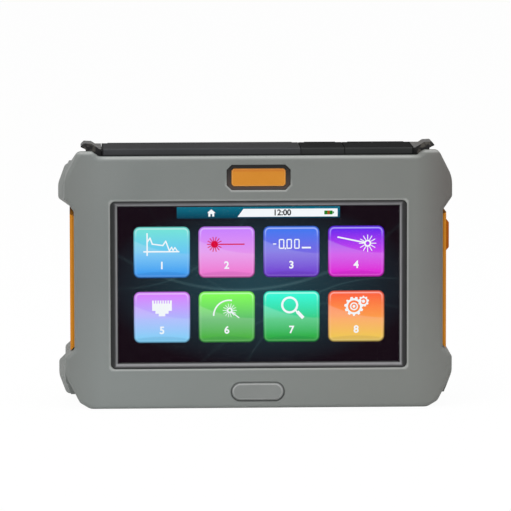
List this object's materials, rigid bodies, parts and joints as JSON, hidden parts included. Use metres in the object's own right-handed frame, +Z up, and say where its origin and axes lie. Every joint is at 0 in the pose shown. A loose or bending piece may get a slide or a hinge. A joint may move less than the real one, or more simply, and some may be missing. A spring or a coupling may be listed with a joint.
{
  "type": "optical time domain reflectometer",
  "caption": "Handheld optical fibre tester with a wide touch screen, grey bumpered case, orange side panels, hinged port lids along the top and a folding stand.",
  "frame": {"origin": "centre of the footprint, on the surface that the bottom edge stands on", "axes": "+X to the right seen from the screen, +Y from the screen to the back, +Z up towards the port lids"},
  "size_m": [0.2192, 0.058, 0.1454],
  "materials": {
    "grey_case": "soft grey moulding",
    "grey_key": "soft grey key",
    "orange_panel": "orange moulding",
    "orange_key": "dark orange key",
    "black_plastic": "black moulding",
    "black_lid": "black lid",
    "black_gloss": "glossy frame",
    "dark_rubber": "seal",
    "screen_glass": "clear touch glass",
    "display": "lit picture",
    "steel": "steel",
    "aluminium": "cast and sheet aluminium",
    "nickel": "nickel plated brass",
    "brass": "brass and gilt contacts",
    "ceramic": "white ceramic",
    "white_plastic": "white moulding",
    "board_green": "circuit board",
    "fibre_yellow": "inner fibre",
    "battery_wrap": "shrink wrapped pack"
  },
  "bodies": {
    "case": {"front_shell": "grey_case", "rear_shell": "grey_case", "shell_gasket": "dark_rubber", "left_side_panel": "orange_panel", "right_side_panel": "orange_panel", "case_screws": "steel", "screen_bezel": "black_gloss", "touch_glass": "screen_glass", "display_panel": "display", "display_plate": "aluminium", "plate_screws": "steel", "badge_surround": "black_plastic", "badge_plate": "orange_panel", "front_key_switch": "black_plastic", "front_key_board": "board_green", "side_key_switch": "black_plastic", "side_key_board": "board_green", "port_panel": "black_plastic", "hinge_rod": "steel", "otdr_port": "nickel", "power_meter_port": "nickel", "fault_locator_port": "nickel", "port_sleeves": "ceramic", "port_nuts": "nickel", "port_board": "board_green", "port_board_screws": "steel", "network_jack": "black_plastic", "jack_contacts": "brass", "usb_socket": "steel", "usb_tongue": "white_plastic", "charge_inlet": "black_plastic", "inlet_pin": "brass", "main_board": "board_green", "board_standoffs": "brass", "board_screws": "steel", "processor_shield": "steel", "optics_module": "aluminium", "module_screws": "steel", "fibre_reel": "white_plastic", "fibre_coil": "fibre_yellow", "battery_tray": "black_plastic", "battery_pack": "battery_wrap", "battery_door": "grey_case", "door_screws": "steel", "speaker": "black_plastic", "stand_pins": "steel"},
    "long_lid": {"long_lid": "black_lid"},
    "middle_lid": {"middle_lid": "black_lid"},
    "short_lid": {"short_lid": "black_lid"},
    "front_key": {"front_key": "grey_key"},
    "side_key": {"side_key": "orange_key"},
    "stand": {"stand": "grey_case"}
  },
  "joints": [
    {"name": "long_lid_hinge", "type": "hinge", "parent": "case", "child": "long_lid", "pos_m": [0, 0.0175, 0.1399], "axis": [-1, 0, 0], "range_deg": [0, 110]},
    {"name": "middle_lid_hinge", "type": "hinge", "parent": "case", "child": "middle_lid", "pos_m": [0, 0.0175, 0.1399], "axis": [-1, 0, 0], "range_deg": [0, 110]},
    {"name": "short_lid_hinge", "type": "hinge", "parent": "case", "child": "short_lid", "pos_m": [0, 0.0175, 0.1399], "axis": [-1, 0, 0], "range_deg": [0, 110]},
    {"name": "front_key_press", "type": "slide", "parent": "case", "child": "front_key", "axis": [0, 1, 0], "range_m": [0, 0.001], "stiffness_N_per_m": 2000, "springref_m": -0.0005},
    {"name": "side_key_press", "type": "slide", "parent": "case", "child": "side_key", "axis": [-1, 0, 0], "range_m": [0, 0.0008], "stiffness_N_per_m": 2500, "springref_m": -0.0005},
    {"name": "stand_hinge", "type": "hinge", "parent": "case", "child": "stand", "pos_m": [0, 0.02715, 0.097], "axis": [1, 0, 0], "range_deg": [0, 60]}
  ]
}
